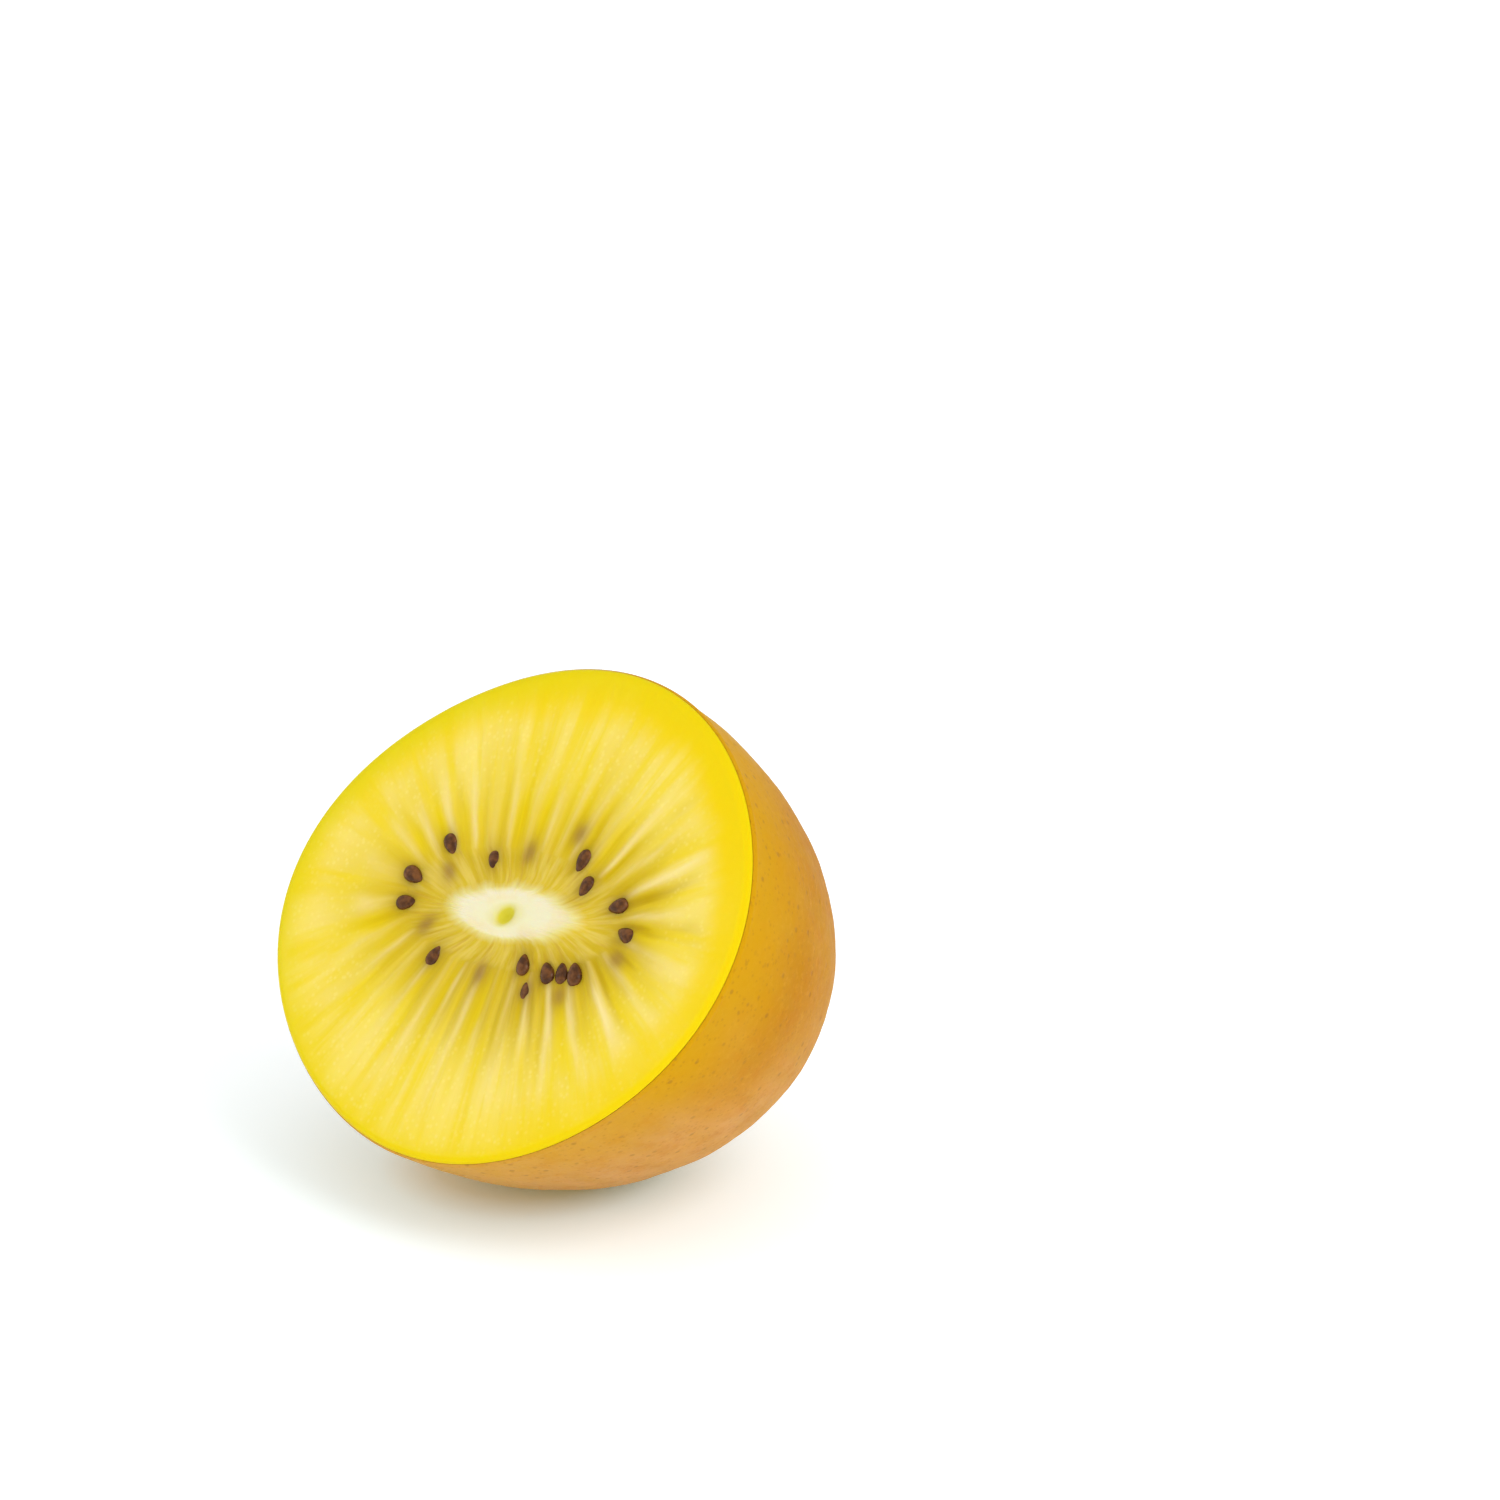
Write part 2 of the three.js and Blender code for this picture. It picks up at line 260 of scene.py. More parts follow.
def build_skin():
    """The rind as two nested surfaces, outer and inner, joined by its cut edge and closed at the tip.

    The outer one is sunk by STAND_IN and by swells and ripples of up to SKIN_UNEVENNESS together, which
    fade out at the cut. The inner one follows it SKIN_THICKNESS farther in, with fewer rows. Bands are
    ripples drawn out along the axis. The lit side is painted light: a smoothstep of height times one of
    the cosine of the turn towards that side, and bronze is the far side. Scar is the distance from the
    axis, with far more added away from the tip.
    """
    angle = np.linspace(0, 2 * np.pi, SKIN_COLUMNS, endpoint=False)
    turns = np.linspace(SKIN_START, SKIN_END, 7)
    along = np.concatenate([np.linspace(RIND_START, 0.965, SKIN_ROWS),
                            np.linspace(0.97, 0.9993, SKIN_TIP_ROWS)])
    angles, alongs = np.meshgrid(angle, along)
    outer, deeper = (
        np.concatenate([[cut_edge(angle, turn, inset) for turn in turns],
                        skin_points(angles, alongs, inset)])
        for inset in (0.0, 1.0))
    alongs = np.concatenate([np.zeros((len(turns), SKIN_COLUMNS)), alongs])
    swells = SWELL_HEIGHT + SWELL_HEIGHT * ripples(outer, SWELL_LENGTH, 3)
    swells += RIPPLE_HEIGHT * ripples(outer, RIPPLE_LENGTH, 4, 60)
    sunk = STAND_IN + np.clip(swells, 0.0, SKIN_UNEVENNESS) * smoothstep(alongs, 0.0, 0.06)
    inner = outer + (deeper - outer) * (sunk[..., None] + SKIN_THICKNESS)
    outer = outer + (deeper - outer) * sunk[..., None]
    kept_rows = list(range(0, len(turns), 2)) + list(range(len(turns), len(outer), 8)) + [len(outer) - 1]
    rows = np.concatenate([place(outer[::-1]), place(inner[kept_rows], SKIN_THICKNESS)])
    tips = skin_points(np.zeros(2), np.ones(2), np.array([[0.0], [SKIN_THICKNESS]]))
    skin = closed_mesh("skin", rows, place(tips[0]), place(tips[1]))
    skin.data.set_sharp_from_angle(angle=math.radians(SHARP_TURN))

    # Painted light: the rind gets its lit, golden copy of colour where it stands high and faces the lit
    # side.
    height = (lay_down(outer) + PLACE)[..., 2] + 4.0 * ripples(outer, 14.0, 9)
    facing = np.cos(angle - math.radians(SUNNY_SIDE)) + 0.25 * ripples(outer, 11.0, 10)
    painted = {
        "along": alongs,
        "scar": np.hypot(outer[..., 0], outer[..., 1]) + 20.0 * (alongs < 0.8),
        "bands": 0.5 + 0.5 * ripples(outer * np.array([1.0, 1.0, 0.12]), 2.6, 8, 50),
        "sunny": smoothstep(height, PAINTED_LIT_FROM, PAINTED_LIT_TO) * smoothstep(facing, -0.9, 0.7),
        "bronze": 1.0 - smoothstep(facing, -1.0, 0.4)}
    for name, values in painted.items():
        at_tip = 1.0 if name == "along" else 0.0
        paint(skin, name, np.concatenate([values[::-1], values[kept_rows]]), at_tip, at_tip)
    return skin


def add_nodes(material):
    """Clears a material and gives back a function that adds a node to it, with its settings and inputs.

    Inputs are given by name, or by number as _0, _1 and so on, each as a value or as another node's output.
    """
    material.use_nodes = True
    tree = material.node_tree
    tree.nodes.clear()

    def add(kind, settings=None, **inputs):
        node = tree.nodes.new(kind)
        for key, value in (settings or {}).items():
            setattr(node, key, value)
        for key, value in inputs.items():
            socket = node.inputs[int(key[1:])] if key[1:].isdigit() else node.inputs[key.replace("_", " ")]
            if isinstance(value, bpy.types.NodeSocket):
                tree.links.new(value, socket)
            else:
                socket.default_value = value
        return node

    return add


def read(add, name):
    """One of the numbers painted on the piece."""
    return add("ShaderNodeAttribute", {"attribute_name": name}).outputs["Fac"]


def own_place(add):
    """A point's own place in the part's frame."""
    return add("ShaderNodeTexCoord").outputs["Object"]


def math_of(add, operation, first, second, third=0.0):
    """A sum, product or the like of two or three values."""
    return add("ShaderNodeMath", {"operation": operation}, _0=first, _1=second, _2=third).outputs[0]


def times(add, first, second):
    """The product of two values."""
    return math_of(add, "MULTIPLY", first, second)


def scaled(add, value, low, high):
    """A value between 0 and 1 carried over to between low and high."""
    return math_of(add, "MULTIPLY_ADD", value, high - low, low)


def spread(add, value, low, high):
    """A value eased from 0 at low to 1 at high, and held there."""
    return add("ShaderNodeMapRange", {"interpolation_type": "SMOOTHSTEP"},
               Value=value, From_Min=low, From_Max=high).outputs["Result"]


def mixed(add, factor, first, second):
    """Two colours mixed by a factor; either may be a colour or another node's output."""
    node = add("ShaderNodeMix", {"data_type": "RGBA"}, Factor=factor)
    for number, value in ((6, first), (7, second)):
        if isinstance(value, bpy.types.NodeSocket):
            node.id_data.links.new(value, node.inputs[number])
        else:
            node.inputs[number].default_value = (*value, 1.0)
    return node.outputs[2]


def lay_over(add, body, *coats):
    """A colour with coats laid over it in order. Each coat is a strength, where it lies (0 to 1) and its
    colour, and covers what is under it by strength times where."""
    for strength, where, colour in coats:
        body = mixed(add, times(add, where, strength), body, colour)
    return body


def noise(add, scale, detail=3.0, roughness=0.5):
    """Noise of one size over the piece, with scale grains to the metre."""
    node = add("ShaderNodeTexNoise", Vector=own_place(add), Scale=scale, Detail=detail, Roughness=roughness)
    return node.outputs["Fac"]


def dots(add, scale, edge, middle, low, high):
    """Soft dots in a net of cells, scale to the metre: 0 at the edge distance from a cell's own point and 1
    at the middle distance. A cell's random tone, eased from low to high, is how strong its dot is."""
    cells = add("ShaderNodeTexVoronoi", Vector=own_place(add), Scale=scale, Randomness=1.0)
    strong = spread(add, cells.outputs["Color"], low, high)
    return times(add, spread(add, cells.outputs["Distance"], edge, middle), strong)


def skin_material():
    """The rind's finish: clouded tan, bronze on the far side and gold on the lit one, a shaded and a lit
    copy of its colour that paint light on it. Its coats are lengthwise bands, russet mottle, pale bloom,
    gold by the cut (strongest on the lit side), pores, flecks, and cork round the scar."""
    material = bpy.data.materials.new("kiwi skin")
    add = add_nodes(material)
    clouds = spread(add, noise(add, 75.0, 2.0), 0.30, 0.70)
    # Painted light: a shaded tan copy and a lit gold copy of the rind's colour, mixed below by the lit side.
    shaded = lay_over(add, mixed(add, clouds, SHADED_TAN, SHADED_PALE_TAN), (0.7, read(add, "bronze"), BRONZE))
    sunny = mixed(add, clouds, LIT_GOLD, LIT_PALE_GOLD)
    mottle = spread(add, noise(add, 420.0, 6.0, 0.72), 0.44, 0.74)
    bloom = spread(add, noise(add, 1500.0, 5.0, 0.7), 0.46, 0.78)
    # The gold band by the cut is strongest where the rind is painted lit.
    beside_cut = times(add, spread(add, read(add, "along"), 0.30, 0.0),
                       scaled(add, read(add, "sunny"), 0.35, 0.8))
    pores = dots(add, 760.0, 0.26, 0.10, 0.42, 0.62)
    flecks = dots(add, 1900.0, 0.42, 0.12, 0.35, 0.60)
    by_scar = spread(add, read(add, "scar"), 4.6, 2.9)
    body = lay_over(
        add, mixed(add, read(add, "sunny"), shaded, sunny),
        (0.30, read(add, "bands"), BAND_GOLD),
        (0.45, mottle, RUSSET),
        (0.30, bloom, BLOOM_YELLOW),
        (1.00, beside_cut, CUT_GOLD),
        (0.42, pores, PORE_BROWN),
        (0.26, flecks, FLECK_BROWN),
        (0.80, by_scar, CORKY_TAN))
    rough = scaled(add, noise(add, 900.0), 0.44, 0.62)
    grain = math_of(add, "SUBTRACT", noise(add, 1700.0, 4.0, 0.6), times(add, pores, 0.5))
    bump = add("ShaderNodeBump", Height=grain, Strength=0.4, Distance=0.00012).outputs["Normal"]
    shader = add("ShaderNodeBsdfPrincipled", Base_Color=body, Roughness=rough, Normal=bump,
                 Specular_IOR_Level=0.04, Subsurface_Weight=0.25,
                 Subsurface_Radius=(1.0, 0.45, 0.12), Subsurface_Scale=0.0015)
    add("ShaderNodeOutputMaterial", Surface=shader.outputs["BSDF"])
    return material


skin = build_skin()
skin.data.materials.append(skin_material())
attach(skin, "root")
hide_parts("kiwi_half")


# ---------------------------------------------------------------------------------------------------------
# The flesh: one moist golden body inside the rind, laid open by the knife. A cream lens of core stands in
# its middle with a soft pit, and seed chambers run out from it as deep yellow rays between pale walls.
# ---------------------------------------------------------------------------------------------------------
RING_TURN = -9.0
RING_MIDDLE = (0.0, 0.45)
RING_LONG, RING_SHORT, RING_SINK = 27.6, 12.0, 0.3
CORE_TURN = -8.0
CORE_MIDDLE = (0.6, -0.2)
CORE_LONG, CORE_SHORT, CORE_POINTEDNESS, CORE_RISE = 16.2, 5.15, 0.55, 0.35
PIT_MIDDLE = (-0.25, -0.35)
PIT_TURN = 28.0
PIT_LONG, PIT_SHORT, PIT_DEPTH = 2.7, 2.1, 0.5
CHAMBERS = 32
CHAMBER_DEPTH = 0.11
FIBRE_HEIGHT, SAC_HEIGHT = 0.03, 0.02
RAY_START = 1.95
RAY_RADIUS = CHAMBERS / (2.0 * np.pi)
DARKEST_CHAMBER, DUSKIEST_CHAMBER, STREAKIEST_CHAMBER, PLAINEST_CHAMBER = 28, 27, 31.4, 11
# Turns round the axis of the rim's painted backlight, a glow as of light shining through it, and of its
# young side.
PAINTED_BACKLIGHT_SIDE, YOUNG_SIDE = 35.0, 128.0
FLESH_END = 50.0
FLESH_GAP = 0.03
FLESH_COLUMNS = 30 * CHAMBERS

# Tones by the way out: -1 is the pit's middle, 0 its edge, 1 the core's, 2 the seed ring and 3 the cut's.
FIRST_WAY, LAST_WAY = -1.0, 3.2
FACE_TONES = (
    (-0.90, (0.65, 0.56, 0.025)), (-0.35, (0.68, 0.59, 0.05)), (0.20, (0.82, 0.77, 0.50)),
    (0.70, (0.82, 0.755, 0.53)), (0.98, (0.76, 0.66, 0.24)), (1.20, (0.67, 0.48, 0.028)),
    (1.75, (0.60, 0.42, 0.012)), (2.08, (0.70, 0.50, 0.022)), (2.45, (0.80, 0.61, 0.070)),
    (2.70, (0.84, 0.65, 0.110)), (2.88, (0.84, 0.64, 0.045)), (3.02, (0.82, 0.61, 0.0015)),
    (3.18, (0.80, 0.52, 0.001)))
CREAM = (0.83, 0.70, 0.38)
PALE_FIBRE = (0.79, 0.61, 0.14)
DARK_FIBRE = (0.52, 0.27, 0.03)
DUSKY_OLIVE = (0.48, 0.32, 0.012)
STREAK_GOLD = (0.82, 0.615, 0.001)
CHAMBER_GOLD = (0.63, 0.435, 0.0005)
STREAK_BROWN = (0.51, 0.330, 0.001)
WALL_CREAM = (0.88, 0.72, 0.32)
SAC_YELLOW = (0.94, 0.80, 0.26)
CLOUD_YELLOW = (0.93, 0.78, 0.24)
# Painted backlight: the rim's wide saturated yellow on one side, as if light shone through it.
BACKLIGHT_YELLOW = (0.84, 0.60, 0.0005)
YOUNG_YELLOW = (0.70, 0.59, 0.001)
HALO_OLIVE = (0.38, 0.235, 0.012)
SHADE_BROWN = (0.26, 0.125, 0.05)

# The seeds that lie in it: chamber, millimetres out from the ring, and how bare, from 0.3 (covered) to 1.
SEEDS = (
    (1.3, -0.5, 1.0), (3.7, -1.6, 0.9), (4.9, 0.4, 0.9), (5.8, 2.5, 0.35), (8.1, -0.4, 0.3),
    (10.3, -1.4, 0.65), (12.8, 0.9, 0.8), (13.3, -2.0, 0.3), (15.2, -0.1, 1.0), (16.7, -0.4, 1.0),
    (18.7, -1.2, 0.35), (20.4, 0.7, 0.75), (23.4, 0.6, 0.3), (25.8, -0.8, 1.0), (26.2, 1.7, 0.6),
    (27.3, 0.1, 1.0), (28.1, 0.3, 0.9), (28.8, 0.8, 1.0), (28.0, 2.6, 0.3), (30.8, 1.6, 0.3),
    (31.8, 0.5, 0.75))
SHADE_REACH, HALO_REACH = (1.1, 0.75), (1.95, 1.45)
HOLLOW_DEPTH = 0.12


def ring_angles(count):
    """Angles at equal steps of arc along the seed ring's oval, by summing its chords."""
    fine = np.linspace(0, 2 * np.pi, 40 * count + 1)
    ring = np.stack([RING_LONG * np.cos(fine), RING_SHORT * np.sin(fine)], axis=-1)
    run = np.concatenate([[0.0], np.cumsum(np.linalg.norm(np.diff(ring, axis=0), axis=1))])
    return np.interp(np.arange(count) * run[-1] / count, run, fine)


def oval(long, short, turn, middle, angle, pointedness=0.0):
    """An oval on the cut face, turned about its middle: half of long times cos and half of short times sin.
    The sine is also multiplied by |sin|^pointedness, which draws the oval's ends out."""
    turn = math.radians(turn)
    x = long / 2.0 * np.cos(angle)
    y = short / 2.0 * np.sin(angle) * np.abs(np.sin(angle)) ** pointedness
    return np.stack([x * math.cos(turn) - y * math.sin(turn), x * math.sin(turn) + y * math.cos(turn)],
                    axis=-1) + middle


def face_outlines(angle):
    """The five outlines the face is drawn between: pit middle, pit, core, seed ring and rounded edge."""
    return np.stack([
        np.broadcast_to(PIT_MIDDLE, angle.shape + (2,)),
        oval(PIT_LONG, PIT_SHORT, PIT_TURN, PIT_MIDDLE, angle - math.radians(PIT_TURN)),
        oval(CORE_LONG, CORE_SHORT, CORE_TURN, CORE_MIDDLE, angle, CORE_POINTEDNESS),
        oval(RING_LONG, RING_SHORT, RING_TURN, RING_MIDDLE, angle),
        cut_edge(angle + math.radians(RING_TURN), 0.0)[..., :2]])


def face_points(angle, way):
    """Points of the cut face: way -1 is the pit's middle, 0 its edge, 1 the core's, 2 the seed ring and 3
    where the rounded edge of the cut starts. Between them the points run straight."""
    outlines = face_outlines(angle)
    zone = np.clip(np.floor(way).astype(int) + 1, 0, 3)
    part = (way + 1 - zone)[..., None]
    inner = np.take_along_axis(outlines, zone[None, ..., None], axis=0)[0]
    outer = np.take_along_axis(outlines, zone[None, ..., None] + 1, axis=0)[0]
    return inner * (1.0 - part) + outer * part


def ray_frame(chamber, way):
    """The rays' own frame, a cylinder that closes on itself: a unit of its arc is one chamber, and its
    height is the way out."""
    turn = chamber * 2.0 * np.pi / CHAMBERS
    return np.stack([RAY_RADIUS * np.cos(turn), RAY_RADIUS * np.sin(turn), way], axis=-1)


def along_rays(chamber, way, across, lengthwise, seed, waves=60):
    """Noise drawn out along the rays: ripples in the rays' frame with way times across over lengthwise as
    its height. across is the ripples' size in chambers, and lengthwise their size in way."""
    return ripples(ray_frame(chamber, way * across / lengthwise), across, seed, waves)


def facing_chamber(chamber, middle):
    """The cosine of the turn from the middle chamber: 1 there and -1 on the far side."""
    return np.cos(2.0 * np.pi * (chamber - middle) / CHAMBERS)


def lobe(chamber, middle, power=1.0):
    """1 at the middle chamber, falling off as a power of the cosine to 0 a quarter of the way round."""
    return np.clip(facing_chamber(chamber, middle), 0.0, 1.0) ** power


def ray_pattern(chamber, way):
    """How deep, how golden and how pale the flesh is. Each chamber is a deep wedge that narrows outwards to
    a point and goes on as a long golden streak, and each wall between two is a thin pale line. Across, a
    wedge falls off as exp(-(x/half)^3) and the others as exp(-(x/half)^2). Along, all of them ease in and
    out by smoothsteps. Reach, girth and strength vary by a seeded draw."""
    draw = np.random.default_rng(19)
    reach = draw.uniform(2.55, 2.82, CHAMBERS)
    strength = draw.uniform(0.72, 1.1, CHAMBERS)
    strength *= 0.8 + 0.3 * facing_chamber(np.arange(CHAMBERS), DARKEST_CHAMBER)
    girth = draw.uniform(0.5, 1.0, CHAMBERS)
    shift = draw.uniform(-0.10, 0.10, CHAMBERS)
    wall_strength = draw.uniform(0.45, 1.0, CHAMBERS)
    wall_reach = draw.uniform(2.62, 2.96, CHAMBERS)
    wall_shift = draw.uniform(-0.10, 0.10, CHAMBERS)
    gold_reach = draw.uniform(2.72, 3.02, CHAMBERS)
    gold_strength = draw.uniform(0.5, 1.0, CHAMBERS)
    shorter = 0.22 * lobe(np.arange(CHAMBERS), PLAINEST_CHAMBER)
    wall_reach -= shorter
    gold_reach -= shorter
    wide_bend, fine_bend = along_rays(chamber, way, 3.0, 0.5, 5), along_rays(chamber, way, 0.8, 0.25, 6)
    bent = chamber + 0.07 * wide_bend + 0.04 * fine_bend

    number = np.round(bent).astype(int) % CHAMBERS
    off = np.abs(bent - np.round(bent) - shift[number])
    outward = np.clip((way - RAY_START) / (reach[number] - RAY_START), 0.0, 1.0)
    half = girth[number] * (0.15 + 0.20 * (1.0 - outward) ** 1.2)
    fade = smoothstep(way, 1.85, 2.08) * (1.0 - smoothstep(outward, 0.15, 0.95))
    deep = strength[number] * np.exp(-((off / half) ** 3)) * fade

    half = 0.34 - 0.17 * smoothstep(way, 2.2, 3.0)
    fade = smoothstep(way, 1.9, 2.2) * (1.0 - smoothstep(way, gold_reach[number] - 0.4, gold_reach[number]))
    gold = gold_strength[number] * np.exp(-((off / half) ** 2)) * fade

    wall = np.floor(bent).astype(int) % CHAMBERS
    off = bent - np.floor(bent) - 0.5 - wall_shift[wall]
    outward = np.clip((way - RAY_START) / (wall_reach[wall] - RAY_START), 0.0, 1.0)
    half = 0.13 + 0.11 * outward
    fade = smoothstep(way, 1.9, 2.12) * (1.0 - smoothstep(outward, 0.6, 1.0))
    pale = wall_strength[wall] * np.exp(-((off / half) ** 2)) * fade
    pale *= 0.85 + 0.25 * lobe(chamber, STREAKIEST_CHAMBER, 3.0)
    return deep, gold, pale


def face_height(way, chamber, deep, flat):
    """Height of the cut face: the core stands proud with its pit in it, the ring round it and the chambers
    are sunk, and fine fibres and grain of juice sacs roughen it. Its steps are smoothsteps of way."""
    core = CORE_RISE * (1.0 - smoothstep(way, 0.85, 1.25))
    pit = PIT_DEPTH * (1.0 - smoothstep(way, -0.8, 0.2))
    sink = RING_SINK * smoothstep(way, 1.0, 1.4) * (1.0 - smoothstep(way, 1.9, 2.3))
    fibres = FIBRE_HEIGHT * along_rays(chamber, way, 0.45, 0.5, 21) * smoothstep(way, 0.2, 0.9)
    fibres *= 1.0 - smoothstep(way, 2.7, 3.0)
    grain = SAC_HEIGHT * ripples(flat, 0.7, 22, 60) * smoothstep(way, 1.0, 1.3)
    return core - pit - sink - CHAMBER_DEPTH * deep + fibres + grain


def seed_places():
    """Each seed's middle on the face, its chamber's direction there, its way, its chamber and how bare it
    is. It lies its millimetres out from the ring, on the straight line from there to the cut's edge."""
    chamber, outward, bared = np.array(SEEDS).T
    fine = ring_angles(FLESH_COLUMNS)
    angle = fine[np.round(chamber * FLESH_COLUMNS / CHAMBERS).astype(int) % FLESH_COLUMNS]
    ring, edge = face_outlines(angle)[3:]
    span = np.linalg.norm(edge - ring, axis=-1)
    heading = (edge - ring) / span[:, None]
    return ring + heading * outward[:, None], heading, 2.0 + outward / span, chamber, bared


def round_seeds(flat):
    """What each seed does to the face round it: the shade it casts through the flesh over it, the halo of
    darker juicy flesh about it, and the hollow that it lies in. With d as the distance over its reach, which
    is 1 mm for the hollow, the shade falls off as exp(-d^2.4), and the other two as exp(-d^2)."""
    shade, halo, hollow = np.zeros((3,) + flat.shape[:2])
    spots, headings, _, _, bareds = seed_places()
    for spot, heading, bared in zip(spots, headings, bareds):
        along = (flat[..., :2] - spot) @ heading
        aside = (flat[..., :2] - spot) @ np.array([-heading[1], heading[0]])
        over = np.exp(-((along / SHADE_REACH[0]) ** 2 + (aside / SHADE_REACH[1]) ** 2) ** 1.2)
        shade = np.maximum(shade, (0.25 if bared > 0.6 else 0.55) * over)
        about = np.exp(-((along / HALO_REACH[0]) ** 2 + (aside / HALO_REACH[1]) ** 2))
        halo = np.maximum(halo, (0.3 + 0.7 * bared) * about)
        dug = HOLLOW_DEPTH * smoothstep(bared, 0.3, 0.8)
        hollow = hollow + dug * np.exp(-(np.hypot(along, aside) ** 2))
    return shade, halo, hollow


def build_flesh():
    """The cut face as rings from the pit outwards, its rounded edge, and the hidden side under the rind.

    The rounded edge is bare as far as FLESH_END, and from there it dips under the rind and stays FLESH_GAP
    or more inside it. Streaks are the rays about STREAKIEST_CHAMBER. Dusky, young and the rim's painted
    backlight go round the axis as half of 1 + cosine of the turn from their own sides, and the backlight
    and young are that to a power.
    """
    angle = ring_angles(FLESH_COLUMNS)
    chamber = np.arange(FLESH_COLUMNS) * CHAMBERS / FLESH_COLUMNS
    way = np.concatenate([np.linspace(-0.9, -0.06, 7), np.linspace(0.06, 0.78, 9),
                          np.linspace(0.84, 1.3, 14), np.linspace(1.37, 1.94, 9),
                          np.linspace(2.0, 2.9, 40), np.linspace(2.925, 3.0, 4)])
    ways, angles = np.meshgrid(way, angle, indexing="ij")
    chambers = np.broadcast_to(chamber, ways.shape)
    flat = np.concatenate([face_points(angles, ways), np.zeros(ways.shape + (1,))], axis=-1)
    deep, gold, pale = ray_pattern(chambers, ways)
    shade, halo, hollow = round_seeds(flat)
    up = np.array([0.0, 0.0, 1.0])
    face = flat + (face_height(ways, chambers, deep, flat) - hollow)[..., None] * up
    around = angle + math.radians(RING_TURN)
    under = STAND_IN + SKIN_THICKNESS + FLESH_GAP
    deeper = under + SKIN_UNEVENNESS + FLESH_GAP
    edge = [cut_edge(around, turn, STAND_IN) + face[-1, :, 2:] * (1.0 - turn / FLESH_END) * up
            for turn in (7.0, 15.0, 24.0, 33.0, 42.0, FLESH_END)]
    edge += [cut_edge(around, turn, inset)
             for turn, inset in ((SKIN_START, under), (72.0, under + 0.08), (SKIN_END, deeper))]
    side = [skin_points(around, np.full(angle.shape, along), deeper)
            for along in (0.06, 0.15, 0.3, 0.45, 0.6, 0.75, 0.87, 0.95, 0.985)]
    rows = place(np.concatenate([face, edge, side]), deeper)
    middle = np.array([*PIT_MIDDLE, CORE_RISE - PIT_DEPTH])
    tip = skin_points(np.zeros(1), np.ones(1), deeper)[0]
    flesh = closed_mesh("flesh", rows, place(middle), place(tip, deeper))

    beyond = np.zeros((len(edge) + len(side), FLESH_COLUMNS))
    painted = {
        "deep": deep,
        "gold": gold,
        "pale": pale,
        "streaks": (deep + 0.65 * gold) * lobe(chambers, STREAKIEST_CHAMBER, 3.0),
        "shade": shade,
        "halo": halo}
    for name, values in painted.items():
        paint(flesh, name, np.concatenate([values, beyond]))
    past_face = np.concatenate([np.linspace(3.02, LAST_WAY, len(edge)), np.full(len(side), LAST_WAY)])
    ways = np.concatenate([ways, past_face[:, None] + beyond])
    paint(flesh, "way", ways, FIRST_WAY, LAST_WAY)
    # Dusky and young are the flesh's own tones. The third is painted backlight: the rim glows on one side as
    # if light shone through it.
    sides = {
        "dusky": 0.5 + 0.5 * facing_chamber(chamber, DUSKIEST_CHAMBER),
        "ripe": (0.5 + 0.5 * np.cos(around - math.radians(PAINTED_BACKLIGHT_SIDE))) ** 1.2,
        "young": (0.5 + 0.5 * np.cos(around - math.radians(YOUNG_SIDE))) ** 2.0}
    for name, values in sides.items():
        paint(flesh, name, np.broadcast_to(values, ways.shape))
    ray = ray_frame(np.broadcast_to(chamber, ways.shape), ways).reshape(-1, 3)
    ray = np.concatenate([ray, ray_frame(np.zeros(2), np.array([FIRST_WAY, LAST_WAY]))]).astype(np.float32)
    flesh.data.attributes.new("ray", "FLOAT_VECTOR", "POINT").data.foreach_set("vector", ray.ravel())
    return flesh


def ramp(add, factor, low, high, stops):
    """A colour ramp through (value, colour) stops, which lie between low and high."""
    share = add("ShaderNodeMapRange", Value=factor, From_Min=low, From_Max=high).outputs["Result"]
    node = add("ShaderNodeValToRGB", Fac=share)
    stop = node.color_ramp.elements
    while len(stop) < len(stops):
        stop.new(0.5)
    for element, (value, colour) in zip(stop, stops):
        element.position = (value - low) / (high - low)
        element.color = (*colour, 1.0)
    return node.outputs["Color"]


def zone(add, value, start, full, less, end):
    """1 where a value lies between full and less, eased out to 0 at start and at end."""
    return times(add, spread(add, value, start, full), spread(add, value, end, less))


def ray_noise(add, scale, drawn_out, detail=2.0):
    """Noise on the rays' own frame, drawn out along them; scale counts its grains to a chamber."""
    ray = add("ShaderNodeAttribute", {"attribute_name": "ray"}).outputs["Vector"]
    spot = add("ShaderNodeMapping", Vector=ray, Scale=(1.0, 1.0, drawn_out)).outputs["Vector"]
    return add("ShaderNodeTexNoise", Vector=spot, Scale=scale, Detail=detail).outputs["Fac"]


def streaky(add, where, scale, drawn_out, detail, low, high, least=0.0, most=1.0):
    """Where a coat lies, broken into streaks along the rays: where times the rays' noise, once that is eased
    from low to high and carried over to between least and most."""
    streaks = spread(add, ray_noise(add, scale, drawn_out, detail), low, high)
    return times(add, where, scaled(add, streaks, least, most))


